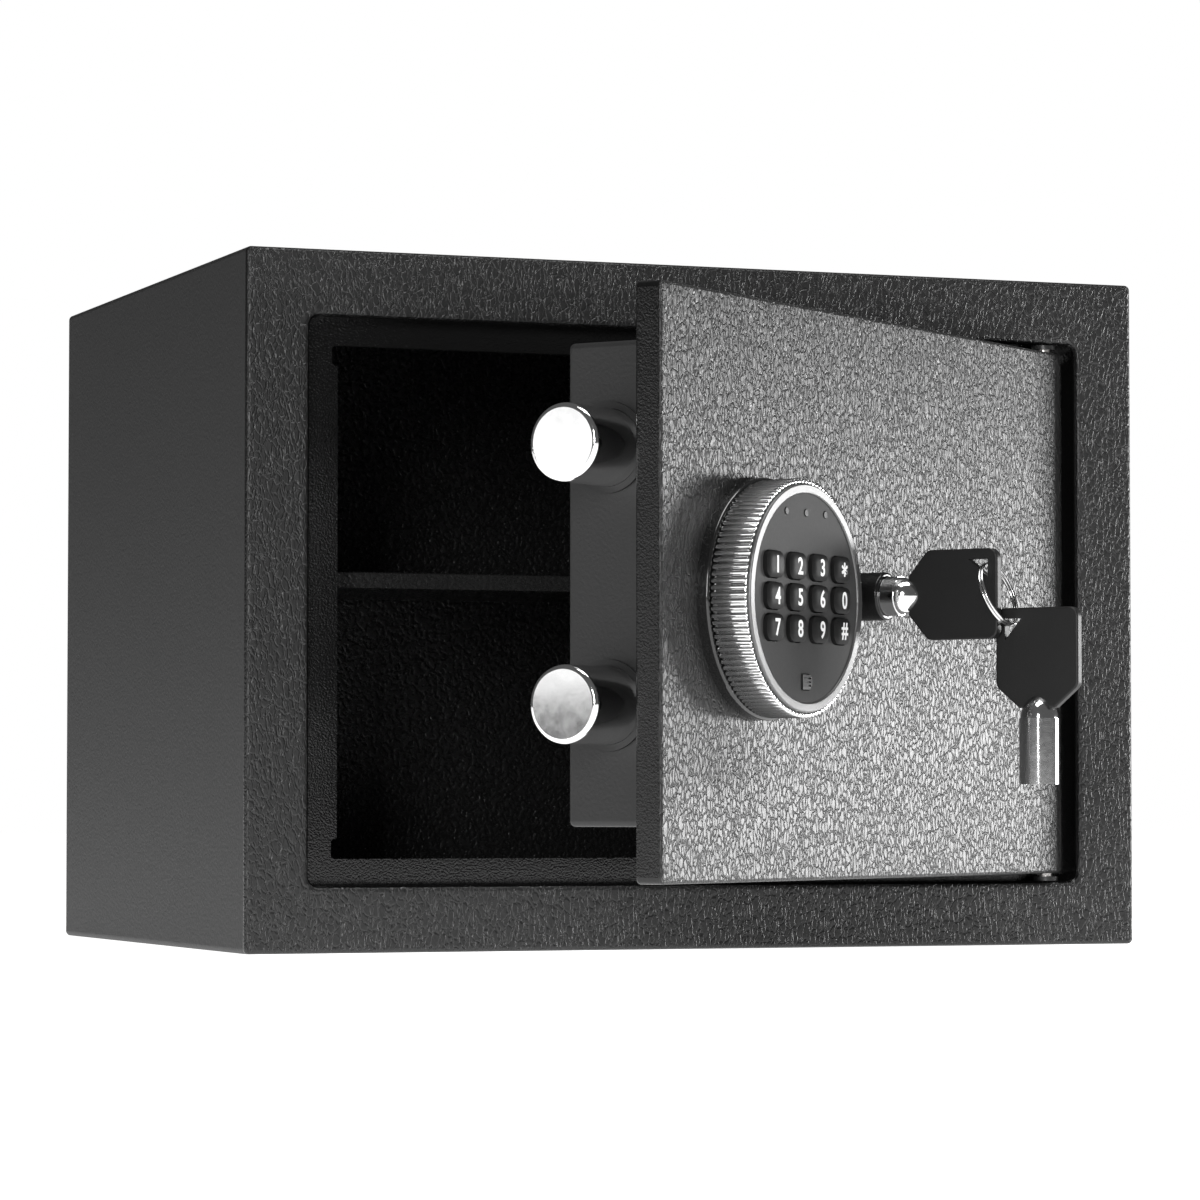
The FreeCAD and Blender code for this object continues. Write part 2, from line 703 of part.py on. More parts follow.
save("knob_ring", make_knob_ring())
sleeve_q1 = crank_q + crank_thickness
sleeve_n1 = knob_back_n + knob_web
save("knob_sleeve", door_tube(sleeve_radius, post_radius + running, -sleeve_n1, sleeve_q1, knob_s, knob_z))
crank_pin = door_rod(crank_pin_radius, crank_q, crank_pin_end_q, crank_pin_s, crank_pin_z)
crank_disc = door_tube(crank_disc_radius, sleeve_radius, crank_q, sleeve_q1, knob_s, knob_z)
save("crank_disc", crank_disc.fuse(crank_pin).removeSplitter())

# Keypad post: a hollow bolt through the knob's sleeve that holds the keypad still
seat_n = housing_back_n + housing_wall
post = door_rod(post_radius, -seat_n, post_end_q, knob_s, knob_z)
post = post.fuse(door_rod(post_flange_radius, -seat_n - post_flange, -seat_n, knob_s, knob_z))
post = post.cut(door_rod(post_bore_radius, -seat_n - post_flange - 1, post_end_q + 1, knob_s, knob_z))
save("keypad_post", post.removeSplitter())
post_nut = hexagon(nut_radius, bracket_q + bracket_sheet, post_end_q, knob_s, knob_z)
post_nut = post_nut.cut(door_rod(post_radius, bracket_q, post_end_q + 1, knob_s, knob_z))
leg_s1 = knob_s + bracket_reach
leg_s0 = leg_s1 - bracket_sheet
bracket = None
for s0, s1, q0, q1 in ((knob_s - nut_radius, leg_s1, bracket_q, bracket_q + bracket_sheet),
                       (leg_s0, leg_s1, door_thickness, bracket_q + bracket_sheet),
                       (leg_s0, leg_s1 + bracket_foot, door_thickness, door_thickness + bracket_sheet)):
    strip = door_block(s0, s1, q0, q1, knob_z - bracket_height / 2, knob_z + bracket_height / 2)
    bracket = strip if bracket is None else bracket.fuse(strip)
bracket = bracket.cut(door_rod(post_radius, bracket_q - 1, post_end_q, knob_s, knob_z))
save("post_bracket", bracket.removeSplitter())

# Keypad housing, its face with windows, and the bright bezel around both
face_back_n = face_n - face_thickness
housing = door_rod(housing_radius, -face_back_n, -housing_back_n, knob_s, knob_z)
housing = housing.cut(door_rod(housing_radius - housing_wall, -face_back_n - 1, -seat_n, knob_s, knob_z))
save("keypad_housing", housing.cut(door_rod(post_radius, -face_back_n, 0, knob_s, knob_z)))
bezel = door_tube(bezel_radius, housing_radius, -bezel_n, -housing_back_n, knob_s, knob_z)
bezel = bezel.makeFillet(bezel_edge_radius, loop_edges(bezel, 1, door_y - bezel_n))
save("bezel_ring", bezel)
pad_board_front_n = pad_board_n + pad_board_thickness
save("keypad_board", door_tube(
    pad_board_radius, post_bore_radius, -pad_board_front_n, -pad_board_n, knob_s, knob_z))

key_names = [["1", "2", "3", "star"], ["4", "5", "6", "0"], ["7", "8", "9", "hash"]]
face = door_rod(housing_radius, -face_n, -face_back_n, knob_s, knob_z)
for row, names in enumerate(key_names):
    for column, label in enumerate(names):
        s = knob_s + (column - 1.5) * key_pitch_x
        z = knob_z + (1 - row) * key_pitch_z
        half_w = key_width / 2
        half_h = key_height / 2
        face = face.cut(door_rounded_block(
            s - half_w - key_play, s + half_w + key_play, -face_n - 1, -face_back_n + 1,
            z - half_h - key_play, z + half_h + key_play, key_corner_radius + key_play))
        cap = door_rounded_block(s - half_w, s + half_w, -key_n, -key_back_n, z - half_h, z + half_h,
                                 key_corner_radius)
        cap = cap.makeFillet(key_edge_radius, loop_edges(cap, 1, door_y - key_n))
        skirt = door_rounded_block(
            s - half_w - key_skirt, s + half_w + key_skirt, -key_back_n - key_skirt_height, -key_back_n,
            z - half_h - key_skirt, z + half_h + key_skirt, key_corner_radius)
        save("key_" + label, cap.fuse(skirt).removeSplitter())
lamps = []
lamp_n = face_n + lamp_proud
for step in (-1, 0, 1):
    lamp = door_rod(lamp_radius, -lamp_n, -lamp_back_n, knob_s + step * lamp_pitch, knob_z + lamp_rise)
    lamps.append(lamp.makeFillet(lamp_edge_radius, loop_edges(lamp, 1, door_y - lamp_n)))
lamp_group = Part.makeCompound(lamps)
save("lamp_lenses", lamp_group)


# Port cover: a small plug over the spare power contacts, round at one end, with three grooves along it
def port_block(grow, n0, n1):
    half_w = port_width / 2 + grow
    half_h = port_height / 2 + grow
    z = knob_z - port_drop
    plug = door_block(knob_s - half_w, knob_s + half_w, -n1, -n0, z - half_h, z + half_h)
    round_end = [edge for edge in edges_along(plug, 1) if edge.BoundBox.XMin > door_x0 + knob_s]
    return plug.makeFillet(port_corner_radius, round_end)


port_cover = port_block(0, port_back_n, port_n)
for step in (-1, 0, 1):
    groove_z = knob_z - port_drop + step * port_height / 4
    port_cover = port_cover.cut(door_block(
        knob_s - port_groove_reach, knob_s + port_groove_reach, -port_n - 1, -port_n + port_groove_depth,
        groove_z - port_groove / 2, groove_z + port_groove / 2))
save("port_cover", port_cover)
face = face.cut(port_block(key_play, face_back_n - 1, face_n + 1)).cut(lamp_group)
save("keypad_face", face)

# Cable from the keypad, through the post, to the circuit board: three straight runs and two bends
cable_start = -seat_n - post_flange
board_top_q = board_q + board_thickness
cable_end = board_top_q + plug_height


def door_point(s, q, z):
    return V(door_x0 + s, door_y + q, z)


def cable_corner(s, q, from_s, from_q, to_s, to_q):
    """Start, middle and end of the bend at a corner between two runs."""
    start = door_point(s + from_s * cable_bend, q + from_q * cable_bend, knob_z)
    end = door_point(s + to_s * cable_bend, q + to_q * cable_bend, knob_z)
    share = 1 - math.sqrt(0.5)
    inset = cable_bend * share
    middle = door_point(s + (from_s + to_s) * inset, q + (from_q + to_q) * inset, knob_z)
    return start, middle, end


first_bend = cable_corner(knob_s, cable_q, 0, -1, 1, 0)
second_bend = cable_corner(plug_s, cable_q, -1, 0, 0, -1)
cable_path = Part.Wire([
    Part.LineSegment(door_point(knob_s, cable_start, knob_z), first_bend[0]).toShape(),
    Part.Arc(*first_bend).toShape(),
    Part.LineSegment(first_bend[2], second_bend[0]).toShape(),
    Part.Arc(*second_bend).toShape(),
    Part.LineSegment(second_bend[2], door_point(plug_s, cable_end, knob_z)).toShape()])
cable_circle = Part.Circle(door_point(knob_s, cable_start, knob_z), V(0, 1, 0), cable_radius)
cable_section = Part.Wire(cable_circle.toShape())
save("keypad_cable", cable_path.makePipeShell([cable_section], True, False))

# Solenoid on the lock box's back wall and the plunger that drops through the carriage's arm
half = solenoid_size / 2
solenoid = door_block(solenoid_s - half, solenoid_s + half, box_inner_q - solenoid_size, box_inner_q,
                      solenoid_z - half, solenoid_z + half)
save("solenoid", solenoid.cut(door_rod(
    plunger_radius + running, box_inner_q - solenoid_size - 1, box_inner_q - 1, solenoid_s, solenoid_z)))
save("solenoid_plunger", door_rod(plunger_radius, carriage_q + carriage_sheet + plunger_lift,
                                  box_inner_q - plunger_back_gap, solenoid_s, solenoid_z))

# Circuit board with its cable socket and reset switch, on four posts
board = door_block(board_s0, board_s0 + board_width, board_q, board_top_q, board_z0, board_z0 + board_height)
board = board.fuse(door_block(plug_s - plug_size / 2, plug_s + plug_size / 2, board_top_q, cable_end,
                              knob_z - plug_size / 2, knob_z + plug_size / 2))
board = board.fuse(door_block(reset_s - reset_switch_size / 2, reset_s + reset_switch_size / 2, board_top_q,
                              board_top_q + reset_switch_height, reset_z - reset_switch_size / 2,
                              reset_z + reset_switch_size / 2))
save("circuit_board", board.removeSplitter())
for s in (board_s0 + board_post_inset, board_s0 + board_width - board_post_inset):
    for z in (board_z0 + board_post_inset, board_z0 + board_height - board_post_inset):
        posts.append(door_rod(board_post_radius, door_thickness, board_q, s, z))
save("mounting_posts", Part.makeCompound(posts))
reset_q0 = board_top_q + reset_switch_height + reset_travel + reset_gap
reset = door_rod(reset_radius, reset_q0, box_q1 + reset_proud, reset_s, reset_z)
save("reset_button", reset.makeFillet(reset_edge_radius, loop_edges(reset, 1, door_y + box_q1 + reset_proud)))

# Battery tray, its cells, and the cover that clips into the lock box's back
tray = door_block(tray_s0, tray_s0 + tray_length, tray_q, box_inner_q, tray_z0, tray_z0 + tray_height)
tray = tray.cut(door_block(cover_s0, cover_s1, tray_q + tray_wall, box_inner_q + 1, cover_z0, cover_z1))
save("battery_tray", tray)
cells = []
for number in range(cell_count):
    z = cover_z0 + (number + 0.5) * cell_pitch
    cell_q = tray_q + tray_wall + cell_radius
    s0 = cover_s0 + tray_end_room - cell_nub / 2
    # every second cell is turned end for end, with its nub at the other end
    turned = number % 2 == 1
    can_s0 = s0 + cell_nub if turned else s0
    nub_s0 = s0 if turned else s0 + cell_length
    cell = side_rod(cell_radius, can_s0, can_s0 + cell_length, cell_q, z)
    cells.append(cell.fuse(side_rod(cell_nub_radius, nub_s0, nub_s0 + cell_nub, cell_q, z)))
save("battery_cells", Part.makeCompound(cells))
cover = door_block(cover_s0 + cover_play, cover_s1 - cover_play, box_inner_q, box_q1,
                   cover_z0 + cover_play, cover_z1 - cover_play)
for z0 in (cover_z0 + cover_play, cover_z1 - cover_play - cover_clip_sheet):
    clip_s0 = (cover_s0 + cover_s1 - cover_clip_width) / 2
    cover = cover.fuse(door_block(clip_s0, clip_s0 + cover_clip_width, box_inner_q - cover_clip, box_q1,
                                  z0, z0 + cover_clip_sheet))
save("battery_cover", cover.removeSplitter())

# Override lock: body with its collar and nut, plug, cam and cam screw
body = door_rod(collar_radius, -collar_height, 0, lock_s, lock_z)
body = body.makeFillet(collar_edge_radius, loop_edges(body, 1, door_y - collar_height))
body = body.fuse(door_rod(barrel_radius, 0, barrel_end_q, lock_s, lock_z))
save("lock_body", body.cut(door_rod(keyway_radius, -collar_height - 1, barrel_end_q + 1, lock_s, lock_z)))
lock_nut = hexagon(lock_nut_radius, door_thickness, door_thickness + lock_nut_height, lock_s, lock_z)
lock_nut = lock_nut.cut(door_rod(barrel_radius, 0, barrel_end_q, lock_s, lock_z))
save("hex_nuts", Part.makeCompound([post_nut, lock_nut]))
drive_q1 = barrel_end_q + drive_length
plug = door_rod(core_radius, core_recess - collar_height, keyway_q, lock_s, lock_z)
plug = plug.fuse(door_rod(keyway_radius - running, keyway_q, barrel_end_q, lock_s, lock_z))
plug = plug.fuse(door_rod(drive_radius, barrel_end_q, drive_q1, lock_s, lock_z))
save("lock_plug", plug)
cam_q0 = barrel_end_q + cam_gap
cam = door_rod(cam_width / 2 + cam_boss, cam_q0, cam_q0 + cam_sheet, lock_s, lock_z)
cam = cam.fuse(door_rounded_block(lock_s - cam_width / 2, lock_s + cam_width / 2, cam_q0, cam_q0 + cam_sheet,
                                  lock_z - cam_length, lock_z, cam_width * 0.3))
save("lock_cam", cam.cut(door_rod(drive_radius, cam_q0 - 1, drive_q1, lock_s, lock_z)).removeSplitter())
save("cam_screw", hexagon(cam_screw_head_radius, drive_q1, drive_q1 + cam_screw_head, lock_s, lock_z))


# Keys: a tubular steel stem with a flat moulded bow, made about their own shoulder.
# Along the key, n runs from the shoulder out to the end of the bow, and the hole is near one corner.
def make_key():
    stem = Part.makeCylinder(key_tube_radius, key_tube_length, V(0, 0, 0), V(0, 1, 0))
    bore = Part.makeCylinder(key_tube_bore_radius, key_tube_length, V(0, key_tube_end, 0), V(0, 1, 0))
    stem = stem.cut(bore)
    # a round nose turned on the stem, bulging a little outside a straight cone
    shoulder_rim = V(key_shoulder_radius, 0, 0)
    nose_rim = V(key_neck_radius, -key_cone_length, 0)
    swollen = (shoulder_rim + nose_rim) * 0.5 + V(key_cone_swell, -key_cone_swell, 0)
    outline = Part.Wire([
        Part.LineSegment(V(0, 0, 0), shoulder_rim).toShape(),
        Part.Arc(shoulder_rim, swollen, nose_rim).toShape(),
        Part.LineSegment(nose_rim, V(0, -key_cone_length, 0)).toShape(),
        Part.LineSegment(V(0, -key_cone_length, 0), V(0, 0, 0)).toShape()])
    nose = Part.Face(outline).revolve(V(0, 0, 0), V(0, 1, 0), 360)
    tang = block(-key_tang_thickness / 2, key_tang_thickness / 2, -key_tang_start - key_tang_length,
                 -key_tang_start, -key_tang_half, key_tang_half)
    stem = stem.fuse(nose).fuse(tang).removeSplitter()
    half = bow_thickness / 2
    corners = [(bow_start, -bow_start_half), (bow_shoulder, -bow_half), (bow_length, -bow_half),
               (bow_length, bow_half), (bow_shoulder, bow_half), (bow_start, bow_start_half)]
    outline = [V(-half, -n, z) for n, z in corners]
    outline.append(outline[0])
    bow = Part.Face(Part.makePolygon(outline)).extrude(V(bow_thickness, 0, 0))
    outer = [edge for edge in edges_along(bow, 0) if edge.BoundBox.YMax < -bow_start - 1]
    bow = bow.makeFillet(bow_corner_radius, outer)
    flat = loop_edges(bow, 0, -half) + loop_edges(bow, 0, half)
    bow = bow.makeFillet(bow_edge_radius, flat)
    corner_n = bow_length - hole_inset
    corner_z = bow_half - hole_inset
    hole = [V(-half - 1, -corner_n, corner_z), V(-half - 1, -corner_n + hole_long, corner_z),
            V(-half - 1, -corner_n, corner_z - hole_short), V(-half - 1, -corner_n, corner_z)]
    bow = bow.cut(Part.Face(Part.makePolygon(hole)).extrude(V(bow_thickness + 2, 0, 0)))
    return stem, bow.cut(stem)


stem, bow = make_key()
# the hole's middle is where a circle that touches all three of its sides has its centre
hole_middle = (hole_long + hole_short - math.hypot(hole_long, hole_short)) / 2
hole_n = bow_length - hole_inset - hole_middle
hole_z = bow_half - hole_inset - hole_middle
shoulder = door_point(lock_s, -key_shoulder_n, lock_z)
for name, piece in (("override_key_stem", stem), ("override_key_bow", bow)):
    placed = piece.copy()
    placed.translate(shoulder)
    save(name, placed)

# Spare key: hangs beside the first, turned so that its stem points down
first_hole = shoulder + V(0, -hole_n, hole_z)
second_hole = first_hole + V(spare_offset_s, -spare_offset_n, -spare_drop)
for name, piece in (("spare_key_stem", stem), ("spare_key_bow", bow)):
    placed = piece.copy()
    placed.rotate(V(0, 0, 0), V(1, 0, 0), -90)
    # after that turn the hole lies at y = hole_z and z = hole_n
    placed.translate(second_hole - V(0, hole_z, hole_n))
    save(name, placed)

# Split ring: two turns of wire side by side through both holes
across = second_hole - first_hole
ring_centre = first_hole + across * 0.5
ring_radius = across.Length / 2
along = V(across)
along.normalize()
sideways = V(1, 0, 0) - along * along.x
sideways.normalize()
ring_axis = along.cross(sideways)
turns = []
for side in (-1, 1):
    turn_centre = ring_centre + ring_axis * (side * (ring_wire_radius + ring_wire_gap / 2))
    turns.append(Part.makeTorus(ring_radius, ring_wire_radius, turn_centre, ring_axis))
save("key_ring", Part.makeCompound(turns))
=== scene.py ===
import json
import math
import bpy
from mathutils import Matrix, Vector


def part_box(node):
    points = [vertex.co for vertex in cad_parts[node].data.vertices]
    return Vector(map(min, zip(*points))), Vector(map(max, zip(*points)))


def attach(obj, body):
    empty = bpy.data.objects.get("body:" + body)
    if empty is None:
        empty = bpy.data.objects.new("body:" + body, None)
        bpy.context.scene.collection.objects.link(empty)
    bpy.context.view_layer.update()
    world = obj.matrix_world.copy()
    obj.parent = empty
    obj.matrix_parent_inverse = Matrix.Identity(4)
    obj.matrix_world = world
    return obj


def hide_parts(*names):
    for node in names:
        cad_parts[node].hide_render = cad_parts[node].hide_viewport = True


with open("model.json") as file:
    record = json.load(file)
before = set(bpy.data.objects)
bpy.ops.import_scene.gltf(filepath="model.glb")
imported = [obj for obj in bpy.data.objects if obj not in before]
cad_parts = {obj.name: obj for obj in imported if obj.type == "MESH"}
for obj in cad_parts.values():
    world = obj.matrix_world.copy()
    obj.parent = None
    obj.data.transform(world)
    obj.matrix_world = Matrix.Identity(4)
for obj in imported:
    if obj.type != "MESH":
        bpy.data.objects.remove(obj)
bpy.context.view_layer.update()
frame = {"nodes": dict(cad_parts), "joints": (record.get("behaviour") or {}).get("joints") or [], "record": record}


# The studio: one low camera, to the left and in front, looking slightly up at the safe. A white floor
# and sky, and four soft boxes: a long low one to the right that lights the door, a faint one to the
# left for the bolts' ends, one above, and one in front on the left.
camera_data = bpy.data.cameras.new("camera")
camera_data.sensor_width = 36.0
camera_data.lens = 137.0
camera_data.clip_start = 0.01
camera = bpy.data.objects.new("camera", camera_data)
camera_place = (-0.6360, -1.6681, 0.0532)
camera_aim = Vector((0.3592, 0.9322, 0.0444))
camera.location = camera_place
camera.rotation_euler = camera_aim.to_track_quat("-Z", "Y").to_euler()
bpy.context.collection.objects.link(camera)
bpy.context.scene.camera = camera
bpy.context.scene.view_settings.view_transform = "Standard"


def soft_box(name, place, aim, width, height, power):
    lamp = bpy.data.lights.new(name, "AREA")
    lamp.shape = "RECTANGLE"
    lamp.size = width
    lamp.size_y = height
    lamp.energy = power
    box = bpy.data.objects.new(name, lamp)
    box.location = place
    box.rotation_euler = (Vector(aim) - Vector(place)).to_track_quat("-Z", "Y").to_euler()
    bpy.context.collection.objects.link(box)


soft_box("light_right", (2.1, -0.06, 0.11), (-0.05, -0.25, 0.06), 0.75, 0.24, 27)
soft_box("light_left", (-1.9, -0.33, 0.24), (-0.1, -0.2, 0.12), 0.42, 0.22, 0.40)
soft_box("light_above", (0.1, -0.5, 1.6), (0, -0.1, 0.1), 1.4, 0.5, 16)
soft_box("light_front", (-1.0, -1.95, 0.50), (0.0, 0.0, 0.12), 0.26, 0.7, 17)


class Wire:
    """A value on its way through a material. Arithmetic on it adds the Math nodes."""

    def __init__(self, coat, socket):
        self.coat = coat
        self.socket = socket

    def reckon(self, operation, *values):
        return self.coat.node("ShaderNodeMath", {"operation": operation}, dict(enumerate(values)))

    def __add__(self, other):
        return self.reckon("ADD", self, other)

    def __radd__(self, other):
        return self.reckon("ADD", other, self)

    def __sub__(self, other):
        return self.reckon("SUBTRACT", self, other)

    def __rsub__(self, other):
        return self.reckon("SUBTRACT", other, self)

    def __mul__(self, other):
        return self.reckon("MULTIPLY", self, other)

    def __gt__(self, other):
        return self.reckon("GREATER_THAN", self, other)

    def __lt__(self, other):
        return self.reckon("LESS_THAN", self, other)


class Coat:
    """A paint, metal, plastic or cloth: one material with one Principled shader."""

    def __init__(self, name, colour, roughness, metallic=0.0, **others):
        self.material = bpy.data.materials.new(name)
        self.material.use_nodes = True
        self.shader = self.material.node_tree.nodes["Principled BSDF"]
        self.place = self.node("ShaderNodeTexCoord", output="Object")
        self.wear(Base_Color=colour, Roughness=roughness, Metallic=metallic, **others)

    def node(self, kind, settings=None, sockets=None, output=0):
        """Add a node: its settings first, then a value or a wire for each socket named or numbered."""
        node = self.material.node_tree.nodes.new(kind)
        for name, value in (settings or {}).items():
            setattr(node, name, value)
        for name, value in (sockets or {}).items():
            self.plug(node.inputs[name], value)
        return Wire(self, node.outputs[output])

    def plug(self, socket, value):
        if isinstance(value, Wire):
            self.material.node_tree.links.new(value.socket, socket)
        else:
            socket.default_value = value

    def wear(self, **sockets):
        """Set or link sockets of the shader."""
        for name, value in sockets.items():
            self.plug(self.shader.inputs[name.replace("_", " ")], value)

    def noise(self, scale, detail=2.0, vector=None, output=0):
        return self.node("ShaderNodeTexNoise", None, {
            "Vector": vector or self.place, "Scale": scale, "Detail": detail}, output)

    def smooth(self, value, low, high):
        """A soft step from 0 at a low value to 1 at a high one."""
        return self.node("ShaderNodeMapRange", {"interpolation_type": "SMOOTHSTEP"}, {
            "Value": value, "From Min": low, "From Max": high})

    def blend(self, share, first, second):
        return self.node("ShaderNodeMix", {"data_type": "RGBA"}, {0: share, 6: first, 7: second}, 2)

    def relief(self, height, depth):
        """Raise the surface by a height of 0 to 1 times a depth in metres."""
        self.wear(Normal=self.node("ShaderNodeBump", None, {
            "Strength": 1.0, "Distance": depth, "Height": height}))


def grey(value, warm=0.0):
    return (value * (1 + warm), value, value * (1 - warm), 1.0)


bpy.ops.object.select_all(action="DESELECT")
bpy.ops.mesh.primitive_plane_add(size=12.0, location=(0, 0, 0))
floor = bpy.context.object
floor.name = "floor"
floor_coat = Coat("floor_white", grey(0.82), 0.85)
floor_coat.wear(Emission_Color=floor_coat.blend(floor_coat.noise(3.0), grey(0.98), grey(1.0)))
floor_coat.wear(Emission_Strength=1.0)
floor.data.materials.append(floor_coat.material)

world = bpy.data.worlds.new("studio")
bpy.context.scene.world = world
world.use_nodes = True
sky = world.node_tree
background = sky.nodes["Background"]
seen = sky.nodes.new("ShaderNodeLightPath")
tone = sky.nodes.new("ShaderNodeMix")
tone.data_type = "RGBA"
tone.inputs[6].default_value = (0.10, 0.10, 0.10, 1)
tone.inputs[7].default_value = (1.0, 1.0, 1.0, 1)
sky.links.new(seen.outputs["Is Camera Ray"], tone.inputs[0])
sky.links.new(tone.outputs[2], background.inputs["Color"])


# The body: a wrap of 2 mm sheet steel for the floor, sides and top, with a flat back panel let in
# and welded. All of it is powder coated in satin charcoal with a very fine orange peel.
def finish_node(name, coat):
    """Give a CAD node its finish."""
    slots = frame["nodes"][name].data.materials
    if len(slots):
        slots[0] = coat.material
    else:
        slots.append(coat.material)


body_coat = Coat("charcoal_powder_coat", grey(0.008), 0.5)
peel = body_coat.noise(850, 3.0)
specks = body_coat.noise(620, 4.0)
body_low, body_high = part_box("body_shell")
sheet_thickness = 0.002
across, along, up = (
    body_coat.node("ShaderNodeSeparateXYZ", None, {0: body_coat.place}, axis) for axis in range(3))
skin = sheet_thickness * 0.6
inside = ((across > body_low[0] + skin) * (across < body_high[0] - skin) * (along < body_high[1] - skin)
          * (up > body_low[2] + skin) * (up < body_high[2] - skin))
body_coat.wear(Base_Color=body_coat.blend(body_coat.noise(14, 4.0), grey(0.0068), grey(0.0092)))
body_coat.wear(Roughness=(1 - inside) * (0.44 + peel * 0.12) + inside * (0.12 + specks * 0.30))
body_coat.relief((1 - inside) * (peel * 0.25) + inside * specks, 0.0005)
for name in ("body_shell", "back_panel"):
    finish_node(name, body_coat)


# The front frame: one steel pressing with the border, the rebate that the door closes into, and the
# ledge behind it. The border has a wrinkle coat like grained leather, and the rebate a harder gloss.
border_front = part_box("front_frame")[0][1]
wrinkle_depth = 0.00045
paint_blend = 0.0006


def wrinkles(coat):
    """Grained leather: flat pebbles about two millimetres wide and taller than that, with thin creases."""
    tall = coat.node("ShaderNodeMapping", None, {
        "Vector": coat.place, "Rotation": (0.12, 0.12, 0), "Scale": (1, 1, 0.5)})
    drift = coat.node("ShaderNodeVectorMath", {"operation": "SCALE"}, {
        0: coat.noise(300, 2.0, tall, output="Color"), "Scale": 0.0040})
    bent = coat.node("ShaderNodeVectorMath", {"operation": "ADD"}, {0: tall, 1: drift})
    pebble = coat.node("ShaderNodeTexVoronoi", {"feature": "DISTANCE_TO_EDGE"}, {
        "Vector": bent, "Scale": 520.0})
    crease = coat.smooth(pebble, 0.0, 0.16)
    lumps = coat.noise(620, 2.0, tall)
    swell = coat.noise(170, 1.0)
    return crease * 0.45 + lumps * 0.50 + swell * 0.25


def front_paint(name, base, depth_behind, away):
    """Wrinkle coat on the faces in front of a plane, and smooth gloss paint behind it.
    depth_behind is a wire of how far a point lies behind the front, in metres."""
    coat = Coat(name, grey(base), 0.4)
    behind = coat.smooth(depth_behind(coat), away, away + paint_blend)
    grain = wrinkles(coat)
    speck = coat.noise(1300, 2.0)
    textured = coat.blend(coat.noise(10, 3.0), grey(base * 0.85), grey(base * 1.15))
    coat.wear(Base_Color=coat.blend(behind, textured, grey(0.004)))
    coat.wear(Roughness=(1 - behind) * (0.33 + grain * 0.08) + behind * (0.07 + speck * 0.15))
    coat.relief((1 - behind) * grain + behind * (speck * 0.28), wrinkle_depth)
    return coat


def behind_border(coat):
    y = coat.node("ShaderNodeSeparateXYZ", None, {0: coat.place}, 1)
    return y - border_front


frame_coat = front_paint("wrinkle_coat_frame", 0.014, behind_border, 0.0003)
finish_node("front_frame", frame_coat)


# Hinge bushes: black nylon, turned with a flange. One is pressed into the rebate's top wall and one
# into its bottom wall, and the door's pins turn in them.
nylon_coat = Coat("black_nylon", grey(0.014), 0.38)
nylon_coat.wear(Base_Color=nylon_coat.blend(nylon_coat.noise(500), grey(0.012), grey(0.018)))
nylon_coat.relief(nylon_coat.noise(2200), 0.00003)
finish_node("hinge_bushes", nylon_coat)


# The floor mat: a loose sheet of black felt, 2 mm thick, cut a little smaller than the floor and
# punched with two holes over the anchor holes. It is laid in, and its top has a short matted nap.
mat_low, mat_high = (Vector(corner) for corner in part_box("floor_mat"))
mat_middle = (mat_low + mat_high) / 2
mat_width = mat_high.x - mat_low.x
mat_depth = mat_high.y - mat_low.y


def fresh():
    """Nothing selected, so that the next operator acts on the new piece alone."""
    bpy.ops.object.select_all(action="DESELECT")


def apply_modifier(piece, kind, **settings):
    bpy.context.view_layer.objects.active = piece
    modifier = piece.modifiers.new(kind.lower(), kind)
    for name, value in settings.items():
        setattr(modifier, name, value)
    bpy.ops.object.modifier_apply(modifier=modifier.name)


def settle(piece, name, coat, body, seat=None):
    """Put a finished piece in its place, leave its object at the origin, and give it its finish."""
    fresh()
    piece.select_set(True)
    bpy.context.view_layer.objects.active = piece
    bpy.ops.object.transform_apply(location=True, rotation=True, scale=True)
    if seat is not None:
        piece.matrix_world = seat
        bpy.ops.object.transform_apply(location=True, rotation=True, scale=True)
    piece.name = name
    piece.data.name = name
    piece.data.materials.clear()
    piece.data.materials.append(coat.material)
    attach(piece, body)
    return piece


def choose(piece, test, kind="FACE"):
    """In edit mode, select the faces, edges or corners whose middle and normal pass a test."""
    bpy.context.view_layer.objects.active = piece
    if bpy.context.mode != "OBJECT":
        bpy.ops.object.mode_set(mode="OBJECT")
    mesh = piece.data
    for group in (mesh.vertices, mesh.edges, mesh.polygons):
        group.foreach_set("select", [False] * len(group))
    if kind == "FACE":
        for face in mesh.polygons:
            face.select = test(face.center, face.normal)
    elif kind == "EDGE":
        for edge in mesh.edges:
            ends = [mesh.vertices[i].co for i in edge.vertices]
            edge.select = test((ends[0] + ends[1]) / 2, ends[1] - ends[0])
    else:
        for corner in mesh.vertices:
            corner.select = test(corner.co, corner.normal)
    bpy.ops.object.mode_set(mode="EDIT")
    bpy.ops.mesh.select_mode(type=kind if kind != "CORNER" else "VERT")


def done():
    bpy.ops.object.mode_set(mode="OBJECT")


